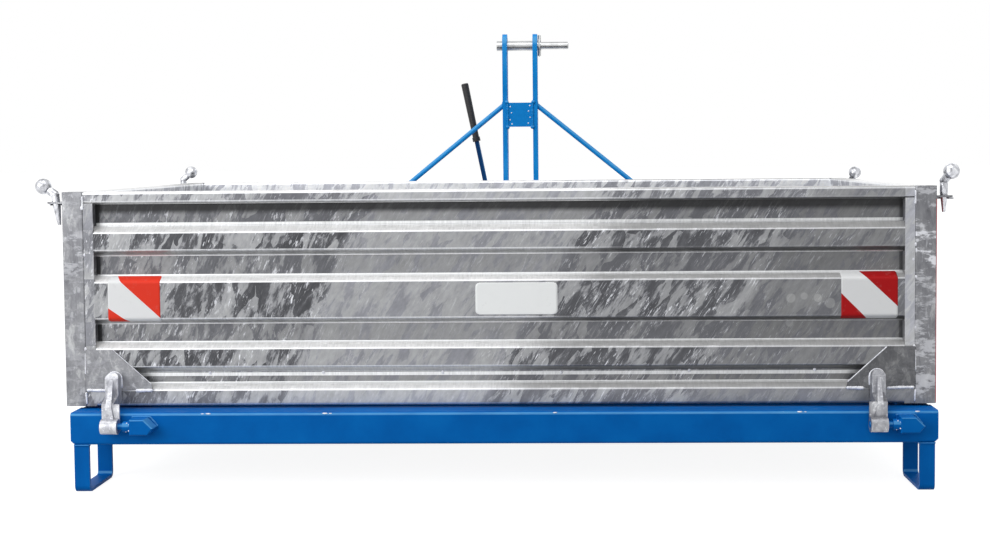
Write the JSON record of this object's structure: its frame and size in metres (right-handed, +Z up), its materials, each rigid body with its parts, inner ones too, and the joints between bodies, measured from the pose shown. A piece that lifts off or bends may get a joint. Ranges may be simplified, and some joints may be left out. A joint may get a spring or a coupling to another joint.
{
  "type": "tractor transport box",
  "caption": "Galvanised tipping transport box for a tractor's three-point hitch: ribbed boards, a drop-down tailgate on lift-off hinges, a blue frame with feet, mast and latch lever.",
  "frame": {"origin": "on the floor, under the middle of the whole box", "axes": "+X to the right seen from behind, +Y towards the tractor, +Z up"},
  "size_m": [1.7271, 1.194, 0.934],
  "materials": {
    "galvanised": "hot-dip galvanised, mottled and streaked",
    "blue_paint": "satin blue machine paint",
    "zinc_plated": "bright zinc plating",
    "black_grip": "moulded, matte"
  },
  "bodies": {
    "hitch_frame": {"brace_left": "blue_paint", "brace_right": "blue_paint", "front_foot_left": "blue_paint", "front_foot_right": "blue_paint", "hitch_crossbeam": "blue_paint", "latch_hook": "blue_paint", "latch_lever": "blue_paint", "lever_grip": "black_grip", "lower_bracket_left": "blue_paint", "lower_bracket_right": "blue_paint", "lower_link_pin_left": "zinc_plated", "lower_link_pin_right": "zinc_plated", "mast_gusset": "blue_paint", "mast_plate_left": "blue_paint", "mast_plate_right": "blue_paint", "tipping_arm_left": "blue_paint", "tipping_arm_right": "blue_paint", "top_link_clip": "zinc_plated", "top_link_pin": "zinc_plated"},
    "platform": {"cross_members": "blue_paint", "drop_pin_front_left": "galvanised", "drop_pin_front_right": "galvanised", "floor_sheet": "galvanised", "front_beam": "blue_paint", "front_board": "galvanised", "front_post_left": "galvanised", "front_post_right": "galvanised", "hinge_block_left": "blue_paint", "hinge_block_right": "blue_paint", "keeper_left": "galvanised", "keeper_right": "galvanised", "latch_tongue": "blue_paint", "pivot_lugs": "blue_paint", "pivot_pin_left": "zinc_plated", "pivot_pin_right": "zinc_plated", "rear_beam": "blue_paint", "rear_foot_left": "blue_paint", "rear_foot_right": "blue_paint", "rest_tongues": "blue_paint", "side_beam_left": "blue_paint", "side_beam_right": "blue_paint", "side_board_left": "galvanised", "side_board_right": "galvanised"},
    "tailgate": {"drop_pin_rear_left": "galvanised", "drop_pin_rear_right": "galvanised", "hinge_arm_left": "galvanised", "hinge_arm_right": "galvanised", "tailgate_gusset_left": "galvanised", "tailgate_gusset_right": "galvanised", "tailgate_panel": "galvanised", "tailgate_post_left": "galvanised", "tailgate_post_right": "galvanised"}
  },
  "joints": [
    {"name": "tip", "type": "hinge", "parent": "hitch_frame", "child": "platform", "pos_m": [0, -0.234, 0.061], "axis": [1, 0, 0], "range_deg": [0, 75]},
    {"name": "tailgate", "type": "hinge", "parent": "platform", "child": "tailgate", "pos_m": [0, -0.583, 0.127], "axis": [1, 0, 0], "range_deg": [0, 180]}
  ]
}
